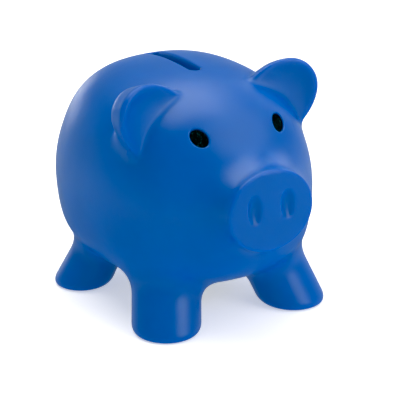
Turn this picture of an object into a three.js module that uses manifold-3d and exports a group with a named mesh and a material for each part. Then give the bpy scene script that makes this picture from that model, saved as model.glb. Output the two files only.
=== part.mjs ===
// Piggy bank. A hollow pig moulded in soft vinyl, with a coin slot along its back, black oval eyes set
// into shallow recesses and a round stopper that is pulled out of the belly to empty it.
// Millimetres, +Z up. The pig faces -Y, and X is across it, with its left side at +X.

import * as THREE from "three";
import Module from "manifold-3d";
import { mergeVertices } from "three/addons/utils/BufferGeometryUtils.js";

const wasm = await Module();
wasm.setup();

// Moulding
const WALL = 2.4;
const GAP = 0.3;

// Torso: an upper and a lower rounded form blended into one, with the underside flattened.
// A power of 2 is an ellipsoid, and a higher one is squarer.
const UPPER = {
  centre: new THREE.Vector3(0, 6.9, 56),
  half: new THREE.Vector3(32.7, 38.1, 23.5),
  power: 2.35,
};
const LOWER = {
  centre: new THREE.Vector3(0, 6.6, 34.5),
  half: new THREE.Vector3(38.3, 46.4, 31.4),
  power: 2.27,
};
const TORSO_BLEND = 18.6;
const BELLY_Z = 9.5;
const BELLY_BLEND = 15.8;
const TORSO_CENTRE = new THREE.Vector3(0, 5, 42);
const TORSO_REACH = 60;

// Legs: round, each leaning in from its foot to the body
const LEG_TOP_Z = 25;
const LEG_ROOT_Z = 31;
const FOOT_EDGE = 1.6;
const FRONT_LEG = {
  foot: new THREE.Vector2(24.8, -23.6),
  top: new THREE.Vector2(17.3, -11.4),
  footRadius: 11.4,
  topRadius: 11.3,
};
const REAR_LEG = {
  foot: new THREE.Vector2(28.4, 27.1),
  top: new THREE.Vector2(16.1, 23.3),
  footRadius: 10.1,
  topRadius: 8.6,
};

// Snout: a flat oval disc on a flared neck
const SNOUT_CENTRE = new THREE.Vector3(0, -47.5, 44.8);
const SNOUT_HALF_WIDTH = 16;
const SNOUT_HALF_HEIGHT = 13.9;
const SNOUT_TILT = THREE.MathUtils.degToRad(2.7);
const SNOUT_DEPTH = 24;
const SNOUT_EDGE = 1;
const SNOUT_NECK = 5.8;
const SNOUT_FLARE = 6.4;
const NOSTRIL = { x: 6.2, rise: 1.4, half: new THREE.Vector3(2.3, 1.7, 4.2) };

// Ears: thick ovals that stand out and up from the head, dished in front and tapered behind.
// Towards its root the front of the dish swells forward to meet the head.
const EAR_CENTRE = new THREE.Vector3(21.4, -12.6, 66.4);
const EAR_HALF_ACROSS = 12.7;
const EAR_HALF_OUT = 18.7;
const EAR_RIM = 1.8;
const EAR_BACK = 7.2;
const EAR_TAPER = 0.42;
const EAR_BOWL = 3.2;
const EAR_ROOT = { swell: 5.6, height: 15.2 };
const EAR_SPLAY = THREE.MathUtils.degToRad(52.5);
const EAR_TOE_IN = THREE.MathUtils.degToRad(15);
const EAR_EDGE_POWER = 6;

// Tail: a small raised curl
const TAIL_Z = 50;
const TAIL_RADIUS = 1.9;
const TAIL_CURL = { start: 5.2, end: 2.4, turns: 1.2, out: 0.8 };

// Coin slot
const SLOT_WIDTH = 4.3;
const SLOT_FRONT = -2.8;
const SLOT_REAR = 27.7;
const SLOT_CUT = { low: 60, high: 95 };
const SLOT_LIP = { width: 2.2, depth: 4.8 };

// Eyes
const EYE = {
  towards: new THREE.Vector3(15, -28.1, 66.2),
  outward: new THREE.Vector3(0.34, -0.735, 0.585).normalize(),
  lean: THREE.MathUtils.degToRad(43),
  halfWidth: 2.3,
  halfHeight: 3.2,
  thickness: 0.8,
  dome: 0.3,
};
const EYE_RECESS = 1.2;

// Belly hole and its stopper
const HOLE = { y: 4, radius: 13, seatRadius: 16.2, seatZ: 13.2, padRadius: 19 };
const STOPPER = {
  flangeRadius: 15.6,
  flangeThickness: 1.7,
  flangeEdge: 0.5,
  neckRadius: 12.3,
  lipRadius: 12.75,
  lipRise: 1.2,
  height: 6.2,
  wall: 1.6,
  thumbRadius: 8.5,
  thumbDepth: 0.9,
};
const GRIP_BAR = { length: 17.5, width: 2.6 };

const VINYL = { color: 0x0a5cb4, roughness: 0.45, metalness: 0 };
const BLACK = { color: 0x0b0b0d, roughness: 0.5, metalness: 0 };
const RUBBER = { color: 0x1b1c1f, roughness: 0.6, metalness: 0 };

// ---- Solids -------------------------------------------------------------------------------------

function weld(geometry) {
  geometry.deleteAttribute("normal");
  geometry.deleteAttribute("uv");
  return mergeVertices(geometry);
}

function solid(geometry) {
  const welded = geometry.hasAttribute("normal") ? weld(geometry) : geometry;
  return new wasm.Manifold(new wasm.Mesh({
    numProp: 3,
    vertProperties: new Float32Array(welded.attributes.position.array),
    triVerts: new Uint32Array(welded.index.array),
  }));
}

function geometryOf(manifold) {
  const { vertProperties, triVerts } = manifold.getMesh();
  const geometry = new THREE.BufferGeometry();
  geometry.setAttribute("position", new THREE.BufferAttribute(vertProperties, 3));
  geometry.setIndex(new THREE.BufferAttribute(triVerts, 1));
  geometry.computeVertexNormals();
  return geometry;
}

function union(solids) {
  return solids.reduce((whole, next) => whole.add(next));
}

function mirrored(geometry) {
  const copy = geometry.clone().applyMatrix4(new THREE.Matrix4().makeScale(-1, 1, 1));
  copy.index.array.reverse();
  return copy;
}

function pair(geometry) {
  const welded = weld(geometry);
  return [solid(welded), solid(mirrored(welded))];
}

// A profile of [radius, z] points turned about the Z axis
function turned(profile, segments) {
  const points = profile.map(([radius, z]) => new THREE.Vector2(radius, z));
  return new THREE.LatheGeometry(points, segments).rotateX(Math.PI / 2);
}

function arc(centre, radius, from, to, steps) {
  return Array.from({ length: steps + 1 }, (_, i) => {
    const angle = THREE.MathUtils.degToRad(THREE.MathUtils.lerp(from, to, i / steps));
    return [centre[0] + radius * Math.cos(angle), centre[1] + radius * Math.sin(angle)];
  });
}

// ---- Torso --------------------------------------------------------------------------------------

function smoothMin(a, b, blend) {
  const h = THREE.MathUtils.clamp(0.5 + 0.5 * (b - a) / blend, 0, 1);
  return THREE.MathUtils.lerp(b, a, h) - blend * h * (1 - h);
}

// Distance to a rounded form, exact on its surface and close to it nearby
function formDistance(point, { centre, half, power }) {
  const ratios = point.clone().sub(centre).divide(half).toArray().map(Math.abs);
  const level = ratios.reduce((sum, ratio) => sum + ratio ** power, 0) ** (1 / power);
  const slopes = ratios.map((ratio, axis) => (ratio / level) ** (power - 1) / half.getComponent(axis));
  return (level - 1) / Math.hypot(...slopes);
}

function torsoDistance(point) {
  const upper = formDistance(point, UPPER);
  const lower = formDistance(point, LOWER);
  const round = smoothMin(upper, lower, TORSO_BLEND);
  return -smoothMin(-round, point.z - BELLY_Z, BELLY_BLEND);
}

// Where the ray from the torso's centre reaches the surface that lies `inset` inside the torso
function torsoPoint(direction, inset) {
  let near = 1;
  let far = TORSO_REACH;
  const point = new THREE.Vector3();
  for (let step = 0; step < 40; step += 1) {
    const reach = (near + far) / 2;
    point.copy(direction).multiplyScalar(reach).add(TORSO_CENTRE);
    if (torsoDistance(point) < -inset) near = reach;
    else far = reach;
  }
  return point;
}

function torso(inset, columns, rows) {
  const geometry = weld(new THREE.SphereGeometry(1, columns, rows));
  const { position } = geometry.attributes;
  const direction = new THREE.Vector3();
  for (let i = 0; i < position.count; i += 1) {
    direction.fromBufferAttribute(position, i).normalize();
    position.setXYZ(i, ...torsoPoint(direction, inset));
  }
  return solid(geometry);
}

// ---- Legs, snout, ears and tail -----------------------------------------------------------------

// A leg and its mirror image. `inset` narrows them all round and lifts them off the floor.
function legs({ foot, top, footRadius, topRadius }, inset, segments, edgeSteps) {
  const low = footRadius - inset;
  const high = low + (topRadius - footRadius) * LEG_ROOT_Z / LEG_TOP_Z;
  const edge = arc([low - FOOT_EDGE, inset + FOOT_EDGE], FOOT_EDGE, -90, 0, edgeSteps);
  const profile = [[0, inset], ...edge, [high, LEG_ROOT_Z], [0, LEG_ROOT_Z]];
  const lean = top.clone().sub(foot).divideScalar(LEG_TOP_Z);
  const axis = new THREE.Vector3(lean.x, lean.y, 1);
  const shear = new THREE.Matrix4().makeBasis(new THREE.Vector3(1, 0, 0), new THREE.Vector3(0, 1, 0), axis);
  return pair(turned(profile, segments).applyMatrix4(shear).translate(foot.x, foot.y, 0));
}

// Turned about +Z with its face at the top, squeezed to an oval, then laid along the head
function snout(inset, segments) {
  const radius = SNOUT_HALF_WIDTH - inset;
  const edge = arc([radius - SNOUT_EDGE, -inset - SNOUT_EDGE], SNOUT_EDGE, 0, 90, 3);
  const flare = arc([radius + SNOUT_FLARE, -SNOUT_NECK], SNOUT_FLARE, 250, 180, 4);
  const profile = [[0, -SNOUT_DEPTH], [radius, -SNOUT_DEPTH], ...flare, ...edge, [0, -inset]];
  const geometry = turned(profile, segments)
    .scale(1, SNOUT_HALF_HEIGHT / SNOUT_HALF_WIDTH, 1)
    .rotateX(Math.PI / 2 - SNOUT_TILT)
    .translate(...SNOUT_CENTRE);
  return solid(geometry);
}

function nostrils() {
  const { x, rise, half } = NOSTRIL;
  const dent = new THREE.SphereGeometry(1, 18, 10).scale(...half).rotateX(-SNOUT_TILT);
  return pair(dent.translate(x, SNOUT_CENTRE.y, SNOUT_CENTRE.z + rise));
}

// A sphere pressed into a dished disc: its poles become the front and the back, its equator the rim
function ears() {
  const geometry = weld(new THREE.SphereGeometry(1, 24, 12));
  const { position } = geometry.attributes;
  for (let i = 0; i < position.count; i += 1) {
    const [across, side, out] = new THREE.Vector3().fromBufferAttribute(position, i);
    const reach = Math.min(1, Math.hypot(across, out));
    const fullness = Math.sqrt(1 - reach ** EAR_EDGE_POWER);
    const low = Math.min(1.3, EAR_HALF_OUT * (1 - out) / EAR_ROOT.height);
    const swell = EAR_ROOT.swell * low ** 2 * (1 - 0.8 * across ** 2);
    const front = EAR_RIM * fullness - EAR_BOWL * (1 - reach ** 3) + swell;
    const depth = side > 0 ? EAR_BACK * fullness : 0;
    const narrowed = EAR_TAPER * depth;
    position.setXYZ(
      i,
      (EAR_HALF_ACROSS - narrowed) * across,
      side > 0 ? depth : -front,
      (EAR_HALF_OUT - narrowed) * out,
    );
  }
  geometry.rotateY(EAR_SPLAY).rotateZ(-EAR_TOE_IN).translate(...EAR_CENTRE);
  return [solid(geometry), solid(mirrored(geometry))];
}

// A flat spiral that starts inside the rump and rises out of it in its first third
class TailCurve extends THREE.Curve {
  constructor(rumpY) {
    super();
    this.rumpY = rumpY;
  }

  getPoint(t, target = new THREE.Vector3()) {
    const angle = -Math.PI / 2 + t * TAIL_CURL.turns * 2 * Math.PI;
    const radius = THREE.MathUtils.lerp(TAIL_CURL.start, TAIL_CURL.end, t);
    const out = THREE.MathUtils.lerp(-TAIL_RADIUS, TAIL_CURL.out, Math.min(1, 3 * t));
    return target.set(radius * Math.cos(angle), this.rumpY + out, TAIL_Z + radius * Math.sin(angle));
  }
}

function tail() {
  const rump = torsoPoint(new THREE.Vector3(0, TORSO_REACH, TAIL_Z - TORSO_CENTRE.z).normalize(), 0);
  const section = new THREE.Shape().absarc(0, 0, TAIL_RADIUS, 0, 2 * Math.PI);
  return solid(new THREE.ExtrudeGeometry(section, {
    steps: 20,
    curveSegments: 5,
    bevelEnabled: false,
    extrudePath: new TailCurve(rump.y),
  }));
}

// ---- Cuts ---------------------------------------------------------------------------------------

// An upright bar with the slot's round-ended outline, widened all round by `grow`
function slotBar(grow) {
  const half = SLOT_WIDTH / 2;
  const outline = new THREE.Shape()
    .absarc(0, SLOT_REAR - half, half + grow, 0, Math.PI)
    .absarc(0, SLOT_FRONT + half, half + grow, Math.PI, 2 * Math.PI);
  const cut = new THREE.ExtrudeGeometry(outline, {
    depth: SLOT_CUT.high - SLOT_CUT.low,
    curveSegments: 8,
    bevelEnabled: false,
  });
  return solid(cut.translate(0, 0, SLOT_CUT.low));
}

function cylinder(radius, low, high, segments) {
  const geometry = new THREE.CylinderGeometry(radius, radius, high - low, segments).rotateX(Math.PI / 2);
  return solid(geometry.translate(0, HOLE.y, (low + high) / 2));
}

// ---- Eyes ---------------------------------------------------------------------------------------

// Lays a part that is modelled around +Z onto the head, with its own +Y along the eye's height
function eyePlaced(geometry) {
  const up = new THREE.Vector3(0, 0, 1).projectOnPlane(EYE.outward).normalize();
  up.applyAxisAngle(EYE.outward, -EYE.lean);
  const across = new THREE.Vector3().crossVectors(up, EYE.outward);
  const frame = new THREE.Matrix4().makeBasis(across, up, EYE.outward).setPosition(eyeSurface());
  return geometry.applyMatrix4(frame);
}

function eyeSurface() {
  return torsoPoint(EYE.towards.clone().sub(TORSO_CENTRE).normalize(), 0);
}

// An oval button with a low dome, or with `grow` the recess that holds it
function eyeButton(low, high, grow, dome) {
  const rim = EYE.halfWidth + grow;
  const crown = [0.8, 0.5, 0].map((part) => [rim * part, high + dome * (1 - part ** 2)]);
  const button = turned([[0, low], [rim, low], [rim, high], ...crown], 28);
  return button.scale(1, (EYE.halfHeight + grow) / rim, 1);
}

// ---- The pieces ---------------------------------------------------------------------------------

function bodyShell() {
  const outside = union([
    torso(0, 44, 32),
    ...legs(FRONT_LEG, 0, 26, 3),
    ...legs(REAR_LEG, 0, 26, 3),
    snout(0, 36),
    ...ears(),
    tail(),
  ]);
  const hollow = union([
    torso(WALL, 28, 20),
    ...legs(FRONT_LEG, WALL, 14, 1),
    ...legs(REAR_LEG, WALL, 14, 1),
    snout(WALL, 20),
  ]);
  const pad = cylinder(HOLE.padRadius, 0, HOLE.seatZ + WALL, 48);
  const slotLip = slotBar(SLOT_LIP.width).subtract(torso(SLOT_LIP.depth, 28, 20));
  const cuts = [
    slotBar(0),
    cylinder(HOLE.seatRadius, 0, HOLE.seatZ, 48),
    cylinder(HOLE.radius, 0, HOLE.seatZ + WALL + 1, 48),
    ...nostrils(),
    ...pair(eyePlaced(eyeButton(-EYE_RECESS, 4, GAP, 0))),
  ];
  const shell = outside.subtract(hollow.subtract(pad).subtract(slotLip));
  return geometryOf(cuts.reduce((rest, cut) => rest.subtract(cut), shell));
}

// A hollow plug: flange below, neck through the hole, and a snap lip above it
function bellyStopper() {
  const top = HOLE.seatZ - GAP;
  const low = top - STOPPER.flangeThickness;
  const lipLow = HOLE.seatZ + WALL + GAP;
  const inner = STOPPER.neckRadius - STOPPER.wall;
  const plug = solid(turned([
    [0, low + STOPPER.thumbDepth],
    [STOPPER.thumbRadius, low + STOPPER.thumbDepth],
    [STOPPER.thumbRadius + STOPPER.thumbDepth, low],
    [STOPPER.flangeRadius - STOPPER.flangeEdge, low],
    [STOPPER.flangeRadius, low + STOPPER.flangeEdge],
    [STOPPER.flangeRadius, top],
    [STOPPER.neckRadius, top],
    [STOPPER.neckRadius, lipLow],
    [STOPPER.lipRadius, lipLow + GAP],
    [STOPPER.lipRadius, lipLow + STOPPER.lipRise],
    [STOPPER.neckRadius - STOPPER.flangeEdge, low + STOPPER.height],
    [inner, low + STOPPER.height],
    [inner, low + STOPPER.thumbDepth + STOPPER.wall],
    [0, low + STOPPER.thumbDepth + STOPPER.wall],
  ], 48).translate(0, HOLE.y, 0));
  const bar = new THREE.BoxGeometry(GRIP_BAR.length, GRIP_BAR.width, STOPPER.wall);
  return geometryOf(plug.add(solid(bar.translate(0, HOLE.y, low + STOPPER.wall / 2))));
}

function eye(side) {
  const low = GAP - EYE_RECESS;
  const button = weld(eyePlaced(eyeButton(low, low + EYE.thickness, 0, EYE.dome)));
  return geometryOf(solid(side > 0 ? button : mirrored(button)));
}

function piece(name, geometry, finish) {
  const mesh = new THREE.Mesh(geometry, new THREE.MeshStandardMaterial(finish));
  mesh.name = name;
  return mesh;
}

const pig = new THREE.Group();
pig.add(piece("body_shell", bodyShell(), VINYL));
pig.add(piece("belly_stopper", bellyStopper(), RUBBER));
pig.add(piece("left_eye", eye(1), BLACK));
pig.add(piece("right_eye", eye(-1), BLACK));

// The origin is on the floor under the middle of the pig's length
const extent = new THREE.Box3().setFromObject(pig);
pig.position.y = -(extent.min.y + extent.max.y) / 2;

const group = new THREE.Group();
group.add(pig);

export default group;
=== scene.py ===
"""Looks of the piggy bank: moulded vinyl body, two eyes and belly stopper, on a pale studio floor."""

import math

import bpy
import numpy as np
import openvdb
from mathutils import Matrix, Vector


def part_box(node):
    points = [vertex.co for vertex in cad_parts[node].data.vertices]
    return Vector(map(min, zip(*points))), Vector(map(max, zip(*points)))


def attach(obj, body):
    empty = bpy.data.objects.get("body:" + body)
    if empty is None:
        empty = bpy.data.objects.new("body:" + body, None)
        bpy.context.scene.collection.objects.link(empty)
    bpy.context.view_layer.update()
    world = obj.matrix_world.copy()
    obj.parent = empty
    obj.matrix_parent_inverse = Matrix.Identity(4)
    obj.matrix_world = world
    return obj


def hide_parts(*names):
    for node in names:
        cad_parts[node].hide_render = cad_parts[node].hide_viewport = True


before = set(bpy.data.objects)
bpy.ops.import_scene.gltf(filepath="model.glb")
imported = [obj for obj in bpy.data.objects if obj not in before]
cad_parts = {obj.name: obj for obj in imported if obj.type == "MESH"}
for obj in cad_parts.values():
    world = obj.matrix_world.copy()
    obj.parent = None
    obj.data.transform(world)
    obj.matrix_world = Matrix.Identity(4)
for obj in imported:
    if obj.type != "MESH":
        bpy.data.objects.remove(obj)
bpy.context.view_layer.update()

# Shapes below are in millimetres in the pig's own frame: floor at z = 0, middle of the back at y = 0.
MM = 0.001
HOLE_Y = 4.0
stopper_low, stopper_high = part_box("belly_stopper")
FRAME_Y = (stopper_low.y + stopper_high.y) / 2 / MM - HOLE_Y

# ---- Driving dimensions -------------------------------------------------------------------------

WALL = 2.4
UPPER = dict(centre=(0, 6.9, 56), half=(32.7, 38.1, 23.5), power=2.35)
LOWER = dict(centre=(0, 6.6, 34.5), half=(38.3, 46.4, 31.4), power=2.27)
TORSO_BLEND = 18.6
CORE = (0, 5.0, 42.0)
BELLY_Z = 9.5
BELLY_BLEND = 15.8

LEG_TOP_Z = 25.0
LEG_TOP_EDGE = 1.0
LEG_BLEND = 6.2
FOOT_EDGE = 1.6
FRONT_LEG = dict(foot=(24.8, -23.6), top=(17.3, -11.4), foot_radius=11.4, top_radius=11.3)
REAR_LEG = dict(foot=(28.4, 27.1), top=(16.1, 23.3), foot_radius=10.1, top_radius=8.6)

SNOUT = dict(y=-47.1, z=44.8, half_width=15.8, half_height=13.4, tilt=2.7, depth=23.0, edge=0.45)
SNOUT_STEP = 0.6
SNOUT_BLEND = 10.5
SNOUT_CREASE = 0.4
NOSTRIL = dict(x=6.2, z=46.0, half=(2.0, 1.4, 4.0), edge=1.4)

EAR = dict(
    centre=(21.4, -12.6, 66.8),
    half_across=12.7,
    half_out=18.9,
    power=2.15,
    thickness=3.6,
    bowl=2.3,
    land=0.95,
    base=4.1,
    base_height=15.2,
    back=5.4,
    back_slope=0.42,
    edge=1.3,
    splay=52.5,
    toe_in=15.0,
    crease=1.3,
    back_blend=5.0,
)

SLOT = dict(width=4.5, front=-2.8, rear=27.7, low=60, edge=0.8, draft=0.25, collar=2.2, depth=4.8)
EYE = dict(
    towards=(15.0, -28.1, 66.2),
    outward=(0.34, -0.735, 0.585),
    lean=43.0,
    half_width=2.3,
    half_height=3.2,
    recess=1.0,
    edge=0.5,
    reach=9,
)
HOLE = dict(radius=13.0, seat_radius=16.2, seat_z=13.2, pad_radius=19.0, reach=4, edge=0.6)
HOLLOW_EDGE = 0.8
TAIL = dict(z=50.0, radius=1.9, start=5.2, end=2.4, turns=1.2, out=0.8, blend=1.6)
STOPPER = dict(
    low=11.2,
    flange_radius=15.6,
    flange_thickness=1.7,
    neck_radius=12.3,
    lip_radius=12.75,
    lip_low=16.2,
    height=6.2,
    wall=1.6,
    thumb_radius=8.9,
    thumb_depth=0.9,
    bar=(17.5, 2.6),
    ring=12.4,
    ring_depth=0.35,
)

CELL = 0.36
FINE_CELL = 0.16
ADAPTIVITY = 0.02
PIG_GRID = ((-42, -52, -3), (42, 60, 86))

# ---- Distance fields ----------------------------------------------------------------------------
# Each takes points as an (n, 3) array and returns a signed distance, negative inside.


def smooth_min(a, b, blend):
    h = np.clip(0.5 + 0.5 * (b - a) / blend, 0, 1)
    return b * (1 - h) + a * h - blend * h * (1 - h)


def smooth_max(a, b, blend):
    return -smooth_min(-a, -b, blend)


def rounded_form(p, centre, half, power):
    ratio = np.abs(p - np.array(centre)) / np.array(half)
    level = np.maximum((ratio**power).sum(1), 1e-9) ** (1 / power)
    slope = np.linalg.norm((ratio / level[:, None]) ** (power - 1) / np.array(half), axis=1)
    return (level - 1) / np.maximum(slope, 1e-9)


def torso(p):
    body = smooth_min(rounded_form(p, **UPPER), rounded_form(p, **LOWER), TORSO_BLEND)
    return smooth_max(body, BELLY_Z - p[:, 2], BELLY_BLEND)


def leg(p, foot, top, foot_radius, top_radius):
    rise = np.clip(p[:, 2] / LEG_TOP_Z, -1, 1)
    lean = np.array(top) - np.array(foot)
    axis = np.array(foot) + lean * rise[:, None]
    radius = foot_radius + (top_radius - foot_radius) * rise
    side = np.hypot(*(p[:, :2] - axis).T) - radius
    side /= math.hypot(1, 0.7 * np.linalg.norm(lean) / LEG_TOP_Z)
    stub = smooth_max(side, -p[:, 2], 2 * FOOT_EDGE)
    return smooth_max(stub, p[:, 2] - LEG_TOP_Z, LEG_TOP_EDGE)


def snout_axes(p):
    """Across, up and outward from the middle of the snout's face."""
    tilt = math.radians(SNOUT["tilt"])
    y = p[:, 1] - SNOUT["y"]
    z = p[:, 2] - SNOUT["z"]
    outward = -math.cos(tilt) * y + math.sin(tilt) * z
    up = math.sin(tilt) * y + math.cos(tilt) * z
    return p[:, 0], up, outward


def snout(p, step=0.0):
    """The oval disc of the snout, or the plug that its flare grows from, a step behind the face."""
    across, up, outward = snout_axes(p)
    oval = np.hypot(across / SNOUT["half_width"], up / SNOUT["half_height"])
    side = (oval - 1) * SNOUT["half_height"] + 0.4 * step
    disc = smooth_max(side, outward + step, 2 * SNOUT["edge"])
    return smooth_max(disc, -outward - SNOUT["depth"], 2.0)


def ear_frame():
    """Facing, across and outward directions of the left ear."""
    splay = math.radians(EAR["splay"])
    toe = math.radians(EAR["toe_in"])
    facing = np.array([-math.sin(toe), -math.cos(toe), 0])
    side = np.array([math.cos(toe), -math.sin(toe), 0])
    up = np.array([0, 0, 1.0])
    across = math.cos(splay) * side - math.sin(splay) * up
    outward = math.sin(splay) * side + math.cos(splay) * up
    return facing, across, outward


def ear(p):
    """Distance to the left ear, depth behind its front, and place across it, -1 at the inner root."""
    facing, across, outward = ear_frame()
    d = p - np.array(EAR["centre"])
    u = d @ across / EAR["half_across"]
    rise = d @ outward
    v = rise / EAR["half_out"]
    power = EAR["power"]
    reach = np.maximum(np.abs(u) ** power + np.abs(v) ** power, 1e-9) ** (1 / power)
    slope = np.hypot(
        (np.abs(u) / reach) ** (power - 1) / EAR["half_across"],
        (np.abs(v) / reach) ** (power - 1) / EAR["half_out"],
    )
    low = np.clip((EAR["half_out"] - rise) / EAR["base_height"], 0, 1.3)
    front = EAR["thickness"] / 2 - EAR["bowl"] * (1 - np.clip(reach / EAR["land"], 0, 1) ** 3)
    front += EAR["base"] * low**2 * (1 - 0.8 * np.clip(np.abs(u), 0, 1) ** 2)
    behind = front - d @ facing
    thick = front + EAR["thickness"] / 2 + EAR["back"]
    rim = 0.9 * ((reach - 1) / slope + EAR["back_slope"] * np.clip(behind - 1, 0, 12))
    slab = 0.9 * (np.abs(behind - thick / 2) - thick / 2)
    return smooth_max(rim, slab, 2 * EAR["edge"]), behind, u


def tail_curve(count=25):
    t = np.linspace(0, 1, count)
    angle = -math.pi / 2 + t * TAIL["turns"] * 2 * math.pi
    radius = TAIL["start"] + (TAIL["end"] - TAIL["start"]) * t
    out = -TAIL["radius"] + (TAIL["out"] + TAIL["radius"]) * np.minimum(1, 3 * t)
    rump = surface_point((0, 60, TAIL["z"] - 42))[1]
    return np.stack([radius * np.cos(angle), rump + out, TAIL["z"] + radius * np.sin(angle)], 1)


def tail(p, curve):
    distance = np.full(len(p), 1e3)
    # Points that are well away from the tail keep a large distance
    near = (p[:, 1] > curve[:, 1].min() - 6) & (np.abs(p[:, 2] - TAIL["z"]) < 14)
    q = p[near]
    best = np.full(len(q), 1e3)
    for a, b in zip(curve, curve[1:]):
        along = np.clip((q - a) @ (b - a) / ((b - a) @ (b - a)), 0, 1)
        best = np.minimum(best, np.linalg.norm(q - a - along[:, None] * (b - a), axis=1))
    distance[near] = best - TAIL["radius"]
    return distance


def slot_side(p):
    """Distance from the walls of the slot, seen from above."""
    half = SLOT["width"] / 2
    middle = (SLOT["front"] + SLOT["rear"]) / 2
    straight = (SLOT["rear"] - SLOT["front"]) / 2 - half
    along = np.maximum(np.abs(p[:, 1] - middle) - straight, 0)
    return np.hypot(p[:, 0], along) - half


def eye_frame():
    """Centre on the head, and the across, up and outward directions of the left eye."""
    outward = np.array(EYE["outward"]) / np.linalg.norm(EYE["outward"])
    up = np.array([0, 0, 1.0]) - outward[2] * outward
    up /= np.linalg.norm(up)
    across = np.cross(up, outward)
    lean = math.radians(EYE["lean"])
    up, across = (
        math.cos(lean) * up + math.sin(lean) * across,
        math.cos(lean) * across - math.sin(lean) * up,
    )
    centre = surface_point(np.array(EYE["towards"]) - np.array(CORE))
    return centre, across, up, outward


def eye_oval(p):
    """Signed distance to the eye's outline, seen along its outward direction."""
    centre, across, up, _ = eye_frame()
    d = p - centre
    u, v = d @ across, d @ up
    reach = np.hypot(u / EYE["half_width"], v / EYE["half_height"])
    slope = np.hypot(u / EYE["half_width"] ** 2, v / EYE["half_height"] ** 2)
    return reach * (reach - 1) / np.maximum(slope, 1e-9)


def eye_recess(p, skin):
    near = np.linalg.norm(p - eye_frame()[0], axis=1) < EYE["reach"]
    cut = np.full(len(p), 1e3)
    cut[near] = smooth_max(eye_oval(p[near]) - 0.25, -skin[near] - EYE["recess"], 0.4)
    return cut


def surface_point(direction):
    """Where a ray from the torso's core meets its skin."""
    direction = np.array(direction, float) / np.linalg.norm(direction)
    near, far = 1.0, 60.0
    for _ in range(40):
        middle = (near + far) / 2
        point = np.array([CORE]) + direction * middle
        if torso(point)[0] < 0:
            near = middle
        else:
            far = middle
    return point[0]


TAIL_CURVE = tail_curve()


def moulding(p):
    """The closed outer form without ears and tail, which the hollow follows."""
    m = p * [1, 1, 1]
    m[:, 0] = np.abs(m[:, 0])
    body = smooth_min(torso(m), snout(m, SNOUT_STEP), SNOUT_BLEND)
    body = smooth_min(body, leg(m, **FRONT_LEG), LEG_BLEND)
    return smooth_min(body, leg(m, **REAR_LEG), LEG_BLEND)


def ear_blend(behind, across):
    """Width of the ear's blend into the head: a crease in front, a soft fillet at the lower back."""
    rear = np.clip(behind / 4, 0, 1) * np.clip(0.5 + 0.6 * across, 0, 1)
    return EAR["crease"] + (EAR["back_blend"] - EAR["crease"]) * rear


def nostril(m):
    """Distance to the left nostril's ellipsoid, centred on the snout's face."""
    across, up, outward = snout_axes(m)
    across = across - NOSTRIL["x"]
    up = up - (NOSTRIL["z"] - SNOUT["z"])
    x, y, z = NOSTRIL["half"]
    level = np.sqrt((across / x) ** 2 + (outward / y) ** 2 + (up / z) ** 2)
    slope = np.sqrt((across / x**2) ** 2 + (outward / y**2) ** 2 + (up / z**2) ** 2)
    return level * (level - 1) / np.maximum(slope, 1e-9)


def hollow(p, skin, radius, side):
    """The coin space: a wall's depth inside the skin, with a thicker pad round the hole and the slot."""
    pad = np.maximum(radius - HOLE["pad_radius"], p[:, 2] - HOLE["seat_z"] - WALL)
    space = smooth_max(skin + WALL, -pad, HOLLOW_EDGE)
    collar = np.maximum(side - SLOT["collar"], -skin - SLOT["depth"])
    collar = np.maximum(collar, SLOT["low"] - p[:, 2])
    return smooth_max(space, -collar, HOLLOW_EDGE)


def pig(p):
    m = p * [1, 1, 1]
    m[:, 0] = np.abs(m[:, 0])
    skin = moulding(p)
    flap, behind, across = ear(m)
    body = smooth_min(skin, flap, ear_blend(behind, across))
    body = smooth_min(body, snout(m), SNOUT_CREASE)
    body = smooth_min(body, tail(p, TAIL_CURVE), TAIL["blend"])
    body = smooth_max(body, -eye_recess(m, skin), EYE["edge"])
    body = smooth_max(body, -nostril(m), NOSTRIL["edge"])
    radius = np.hypot(p[:, 0], p[:, 1] - HOLE_Y)
    side = slot_side(p)
    shell = np.maximum(body, -hollow(p, skin, radius, side))
    seat = np.maximum(radius - HOLE["seat_radius"], p[:, 2] - HOLE["seat_z"])
    hole = np.maximum(radius - HOLE["radius"], p[:, 2] - HOLE["seat_z"] - WALL - HOLE["reach"])
    shell = smooth_max(shell, -seat, HOLE["edge"])
    shell = smooth_max(shell, -hole, HOLE["edge"])
    side -= SLOT["draft"] * np.clip(skin, -SLOT["depth"], 0)
    return smooth_max(shell, -np.maximum(side, SLOT["low"] - p[:, 2]), SLOT["edge"])


def eye(p):
    """The black filling of the left eye's recess, following the skin a little below it."""
    skin = moulding(p)
    top = smooth_max(skin + 0.22, eye_oval(p) - 0.12, 0.5)
    return smooth_max(top, -skin - EYE["recess"] + 0.05, 0.2)


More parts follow.
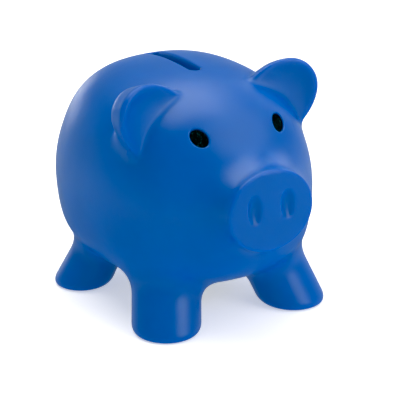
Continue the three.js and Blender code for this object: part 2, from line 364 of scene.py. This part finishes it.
def stopper(p):
    """The plug: a flange with a finger hollow and grip bar, and a hollow neck with a snap lip."""
    s = STOPPER
    radius = np.hypot(p[:, 0], p[:, 1] - HOLE_Y)
    z = p[:, 2] - s["low"]
    mid = s["flange_thickness"] / 2
    flange = smooth_max(np.abs(z - mid) - mid, radius - s["flange_radius"], 0.9)
    lip = np.clip(1 - np.abs(p[:, 2] - s["lip_low"] - 0.5) / 0.7, 0, 1)
    neck_radius = s["neck_radius"] + (s["lip_radius"] - s["neck_radius"]) * lip**0.5
    neck_ends = np.abs(z - s["height"] / 2 - 0.4) - s["height"] / 2 + 0.4
    neck = smooth_max(radius - neck_radius, neck_ends, 0.6)
    plug = smooth_min(flange, neck, 0.5)
    inside = np.maximum(radius - s["neck_radius"] + s["wall"], s["thumb_depth"] + s["wall"] - z)
    plug = smooth_max(plug, -inside, 0.6)
    thumb = smooth_max(radius - s["thumb_radius"], z - s["thumb_depth"], 0.9)
    plug = smooth_max(plug, -thumb, 0.7)
    half_length, half_width = s["bar"][0] / 2, s["bar"][1] / 2
    side = np.abs(p[:, 1] - HOLE_Y) - half_width
    bar = smooth_max(smooth_max(np.abs(p[:, 0]) - half_length, side, 0.6), -z, 0.8)
    bar = np.maximum(bar, z - s["wall"])
    plug = smooth_min(plug, bar, 0.6)
    ring = np.hypot(radius - s["ring"], z) - s["ring_depth"]
    return smooth_max(plug, -ring, s["ring_depth"])


# ---- Meshing a distance field -------------------------------------------------------------------


def in_chunks(field, p, size=400_000):
    return np.concatenate([field(p[i : i + size]) for i in range(0, len(p), size)])


def gradient(field, p, step=0.05):
    g = np.empty_like(p)
    for axis in range(3):
        offset = np.zeros(3)
        offset[axis] = step
        g[:, axis] = in_chunks(field, p + offset) - in_chunks(field, p - offset)
    return g / (2 * step)


def sample(field, low, high, cell, block=4):
    """The field on a grid, worked out only in the blocks of cells that lie near its surface."""
    count = np.ceil((np.array(high) - np.array(low)) / (cell * block)).astype(int)
    centres = np.stack(np.meshgrid(*[np.arange(n) + 0.5 for n in count], indexing="ij"), -1)
    centres = centres.reshape(-1, 3) * cell * block + np.array(low) - cell / 2
    coarse = in_chunks(field, centres)
    reach = 1.6 * cell * block
    band = 3 * cell
    blocks = np.clip(coarse, -band, band).astype(np.float32)[:, None, None, None]
    blocks = np.repeat(np.repeat(np.repeat(blocks, block, 1), block, 2), block, 3)
    active = np.nonzero(np.abs(coarse) < reach)[0]
    inner = np.stack(np.meshgrid(*[np.arange(block)] * 3, indexing="ij"), -1).reshape(-1, 3)
    corner = np.stack(np.unravel_index(active, count), -1) * block
    points = (corner[:, None] + inner[None]).reshape(-1, 3) * cell + np.array(low)
    values = np.clip(in_chunks(field, points), -band, band)
    blocks[active] = values.reshape(-1, block, block, block)
    grid = blocks.reshape(*count, block, block, block).transpose(0, 3, 1, 4, 2, 5)
    return np.ascontiguousarray(grid.reshape(*(count * block))), band


def polygonise(field, low, high, cell, adaptivity):
    """Points, faces and outward normals of a field's surface; level stretches get larger faces."""
    values, band = sample(field, low, high, cell)
    grid = openvdb.FloatGrid(band)
    grid.copyFromArray(values)
    points, triangles, quads = grid.convertToPolygons(0.0, adaptivity)
    points = points.astype(float) * cell + np.array(low)
    for _ in range(3):
        g = gradient(field, points)
        step = in_chunks(field, points) / np.maximum((g**2).sum(1), 0.2)
        points -= np.clip(step, -cell, cell)[:, None] * g
    normals = gradient(field, points)
    normals /= np.maximum(np.linalg.norm(normals, axis=1), 1e-9)[:, None]
    a, b, c, d = points[quads.T]
    if (np.cross(c - a, d - b) * normals[quads[:, 0]]).sum() < 0:
        triangles, quads = triangles[:, ::-1], quads[:, ::-1]
    return points, triangles.tolist() + quads.tolist(), normals


def mesh_object(name, points, faces, normals):
    """A smooth-shaded object from points in the pig's millimetres."""
    mesh = bpy.data.meshes.new(name)
    mesh.from_pydata(((points + [0, FRAME_Y, 0]) * MM).tolist(), [], faces)
    mesh.shade_smooth()
    mesh.normals_split_custom_set_from_vertices(normals.tolist())
    obj = bpy.data.objects.new(name, mesh)
    bpy.context.scene.collection.objects.link(obj)
    return obj


def pig_body():
    low, high = PIG_GRID
    return mesh_object("pig_body", *polygonise(pig, low, high, CELL, ADAPTIVITY))


def belly_plug():
    centre = np.array([0, HOLE_Y, 14.3])
    reach = np.array([18, 18, 5])
    surface = polygonise(stopper, centre - reach, centre + reach, FINE_CELL, ADAPTIVITY)
    return mesh_object("belly_plug", *surface)


def eye_fills():
    centre = eye_frame()[0]
    points, faces, normals = polygonise(eye, centre - 5, centre + 5, FINE_CELL, 0.01)
    left = mesh_object("eye_fill_left", points, faces, normals)
    flipped = [face[::-1] for face in faces]
    right = mesh_object("eye_fill_right", points * [-1, 1, 1], flipped, normals * [-1, 1, 1])
    return left, right


# ---- Materials ----------------------------------------------------------------------------------

VINYL_DEEP = (0.0, 0.079, 0.388)
VINYL_LIGHT = (0.0, 0.087, 0.416)


def new_material(name):
    material = bpy.data.materials.new(name)
    material.use_nodes = True
    nodes = material.node_tree.nodes
    return material, nodes, material.node_tree.links, nodes["Principled BSDF"]


def bump(nodes, links, height, distance, normal=None):
    node = nodes.new("ShaderNodeBump")
    node.inputs["Distance"].default_value = distance
    links.new(height, node.inputs["Height"])
    if normal is not None:
        links.new(normal, node.inputs["Normal"])
    return node.outputs["Normal"]


def noise(nodes, links, scale, detail=2.0):
    """Noise in the object's own metres."""
    place = nodes.new("ShaderNodeTexCoord")
    node = nodes.new("ShaderNodeTexNoise")
    node.inputs["Scale"].default_value = scale
    node.inputs["Detail"].default_value = detail
    links.new(place.outputs["Object"], node.inputs["Vector"])
    return node.outputs["Fac"]


def ramp(nodes, links, factor, low, high):
    """A colour ramp between two (position, colour) stops."""
    node = nodes.new("ShaderNodeValToRGB")
    for stop, (position, colour) in zip(node.color_ramp.elements, (low, high)):
        stop.position = position
        stop.color = (*colour, 1)
    links.new(factor, node.inputs["Fac"])
    return node.outputs["Color"]


def remap(nodes, links, value, low, high):
    node = nodes.new("ShaderNodeMapRange")
    node.inputs["From Min"].default_value = 0.3
    node.inputs["From Max"].default_value = 0.7
    node.inputs["To Min"].default_value = low
    node.inputs["To Max"].default_value = high
    links.new(value, node.inputs["Value"])
    return node.outputs["Result"]


def vinyl():
    """Satin moulded vinyl: a fine even grain, faint flow mottling and a soft sheen."""
    material, nodes, links, shader = new_material("satin_blue_vinyl")
    mottle = noise(nodes, links, 55, 3.0)
    grain = noise(nodes, links, 2600, 2.0)
    wave = noise(nodes, links, 140, 1.0)
    colour = ramp(nodes, links, mottle, (0.35, VINYL_DEEP), (0.65, VINYL_LIGHT))
    links.new(colour, shader.inputs["Base Color"])
    links.new(remap(nodes, links, wave, 0.32, 0.36), shader.inputs["Roughness"])
    swell = bump(nodes, links, wave, 0.00006)
    links.new(bump(nodes, links, grain, 0.00003, swell), shader.inputs["Normal"])
    shader.inputs["Specular IOR Level"].default_value = 0.5
    shader.inputs["Subsurface Weight"].default_value = 0.5
    shader.inputs["Subsurface Radius"].default_value = (0.2, 0.6, 1.0)
    shader.inputs["Subsurface Scale"].default_value = 0.005
    return material


def black():
    """Eye black with a fine sparkle of grains standing out of it."""
    material, nodes, links, shader = new_material("grainy_eye_black")
    grain = noise(nodes, links, 2600, 2.0)
    colour = ramp(nodes, links, grain, (0.62, (0.0006, 0.0005, 0.0005)), (0.74, (0.16, 0.13, 0.13)))
    links.new(colour, shader.inputs["Base Color"])
    links.new(bump(nodes, links, grain, 0.00008), shader.inputs["Normal"])
    shader.inputs["Roughness"].default_value = 0.35
    shader.inputs["Specular IOR Level"].default_value = 0.0
    return material


def rubber():
    """Soft black stopper rubber with a matt, slightly dusty grain."""
    material, nodes, links, shader = new_material("matt_black_rubber")
    grain = noise(nodes, links, 1500, 3.0)
    dust = noise(nodes, links, 120, 3.0)
    colour = ramp(nodes, links, dust, (0.4, (0.024, 0.023, 0.023)), (0.7, (0.036, 0.035, 0.035)))
    links.new(colour, shader.inputs["Base Color"])
    links.new(remap(nodes, links, dust, 0.5, 0.62), shader.inputs["Roughness"])
    links.new(bump(nodes, links, grain, 0.00005), shader.inputs["Normal"])
    return material


def assemble(piece, material, body_name, node):
    piece.data.materials.append(material)
    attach(piece, body_name)
    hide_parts(node)


left_fill, right_fill = eye_fills()
eye_paint = black()
assemble(pig_body(), vinyl(), "bank", "body_shell")
assemble(left_fill, eye_paint, "bank", "left_eye")
assemble(right_fill, eye_paint, "bank", "right_eye")
assemble(belly_plug(), rubber(), "stopper", "belly_stopper")

# ---- Stage --------------------------------------------------------------------------------------

CAMERA = dict(azimuth=-31.88, elevation=21.01, distance=682.5, target=(0.37, -3.75, 34.32), focal=2054)
PICTURE = 400
SENSOR = 36.0

# Brightness of the studio walls at each height, from 0 straight below through 0.5 level to 1 overhead
WALL_LIGHT = [(0.0, 0.25), (0.27, 0.3), (0.36, 0.7), (0.5, 0.52), (0.6, 0.37), (1.0, 0.4)]


def camera():
    a, e = math.radians(CAMERA["azimuth"]), math.radians(CAMERA["elevation"])
    back = Vector((math.sin(a) * math.cos(e), -math.cos(a) * math.cos(e), math.sin(e)))
    right = Vector((math.cos(a), math.sin(a), 0))
    up = back.cross(right)
    target = (Vector(CAMERA["target"]) + Vector((0, FRAME_Y, 0))) * MM
    data = bpy.data.cameras.new("camera")
    data.sensor_width = SENSOR
    data.lens = CAMERA["focal"] * SENSOR / PICTURE
    data.clip_end = 20
    obj = bpy.data.objects.new("camera", data)
    rotation = Matrix((right, up, back)).transposed().to_4x4()
    obj.matrix_world = Matrix.Translation(target + back * CAMERA["distance"] * MM) @ rotation
    bpy.context.scene.collection.objects.link(obj)
    bpy.context.scene.camera = obj


def area_light(name, azimuth, elevation, distance, size, power):
    a, e = math.radians(azimuth), math.radians(elevation)
    direction = Vector((math.sin(a) * math.cos(e), -math.cos(a) * math.cos(e), math.sin(e)))
    data = bpy.data.lights.new(name, "AREA")
    data.shape = "RECTANGLE"
    data.size, data.size_y = size
    data.energy = power
    obj = bpy.data.objects.new(name, data)
    obj.location = direction * distance
    obj.rotation_euler = direction.to_track_quat("Z", "Y").to_euler()
    bpy.context.scene.collection.objects.link(obj)


def studio_walls(nodes, links):
    """White light that is strongest at the horizon, dimmer overhead and dimmest from below."""
    place = nodes.new("ShaderNodeTexCoord")
    split = nodes.new("ShaderNodeSeparateXYZ")
    links.new(place.outputs["Generated"], split.inputs["Vector"])
    height = nodes.new("ShaderNodeMapRange")
    height.inputs["From Min"].default_value = -1
    links.new(split.outputs["Z"], height.inputs["Value"])
    shade = nodes.new("ShaderNodeValToRGB")
    stops = shade.color_ramp.elements
    for position, _ in WALL_LIGHT[2:]:
        stops.new(position)
    for stop, (position, level) in zip(stops, sorted(WALL_LIGHT)):
        stop.position = position
        stop.color = (level, level, level, 1)
    links.new(height.outputs["Result"], shade.inputs["Fac"])
    links.new(shade.outputs["Color"], nodes["Background"].inputs["Color"])


def stage():
    world = bpy.data.worlds.new("studio")
    bpy.context.scene.world = world
    world.use_nodes = True
    studio_walls(world.node_tree.nodes, world.node_tree.links)

    # A lit white table; the gloss of the vinyl sees the softer studio walls instead of it
    table, nodes, links, shader = new_material("lit_white_table")
    shader.inputs["Base Color"].default_value = (0.85, 0.85, 0.85, 1)
    shader.inputs["Roughness"].default_value = 0.9
    shader.inputs["Emission Color"].default_value = (1, 1, 1, 1)
    shader.inputs["Emission Strength"].default_value = 0.48
    mesh = bpy.data.meshes.new("floor")
    mesh.from_pydata([(-4, -4, 0), (4, -4, 0), (4, 4, 0), (-4, 4, 0)], [], [(0, 1, 2, 3)])
    mesh.materials.append(table)
    floor = bpy.data.objects.new("floor", mesh)
    bpy.context.scene.collection.objects.link(floor)
    floor.visible_glossy = False


camera()
stage()
area_light("overhead_softbox", 178, 75, 1.1, (1.15, 0.95), 9.8)
area_light("high_front_fill", 40, 50, 1.1, (1.0, 0.8), 3.3)
area_light("backdrop_glow", 180, 3, 1.2, (0.6, 0.25), 1.1)
area_light("front_softbox", 24, 25, 1.0, (0.55, 0.55), 2.0)
area_light("right_fill", 112, 28, 1.1, (0.55, 0.6), 1.2)

# The picture's blues are deep enough to lose the last trace of red
view = bpy.context.scene.view_settings
view.view_transform = "Standard"
view.use_curve_mapping = True
view.curve_mapping.black_level = (0.031, 0, 0)
